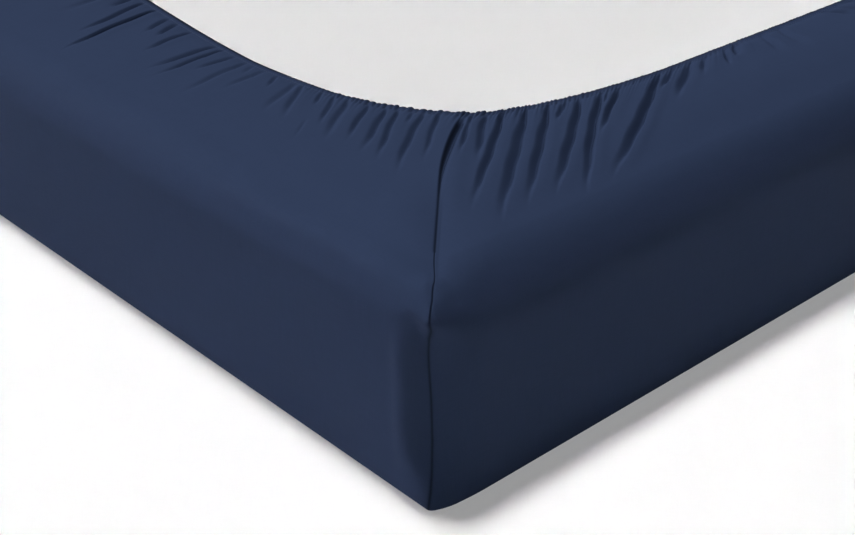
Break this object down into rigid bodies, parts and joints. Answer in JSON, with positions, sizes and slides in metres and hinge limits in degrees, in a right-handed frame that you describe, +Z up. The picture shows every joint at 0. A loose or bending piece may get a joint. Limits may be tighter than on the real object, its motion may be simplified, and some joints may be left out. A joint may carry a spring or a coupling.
{
  "type": "fitted sheet on a mattress",
  "caption": "Plain cotton fitted sheet pulled over a mattress that lies underside up, with its gathered elastic hem and sewn corner seams showing.",
  "frame": {"origin": "middle of the underside, at floor level", "axes": "+X along the mattress's length, +Y along its width, +Z up towards the gathered hem"},
  "size_m": [2.0024, 1.4025, 0.2066],
  "materials": {
    "sheet_cotton": "navy blue fine cotton sateen, smooth, with a faint soft sheen",
    "mattress_cover": "plain light grey woven mattress cover, matt"
  },
  "bodies": {
    "root": {"fitted_sheet": "sheet_cotton", "mattress": "mattress_cover"}
  },
  "joints": []
}
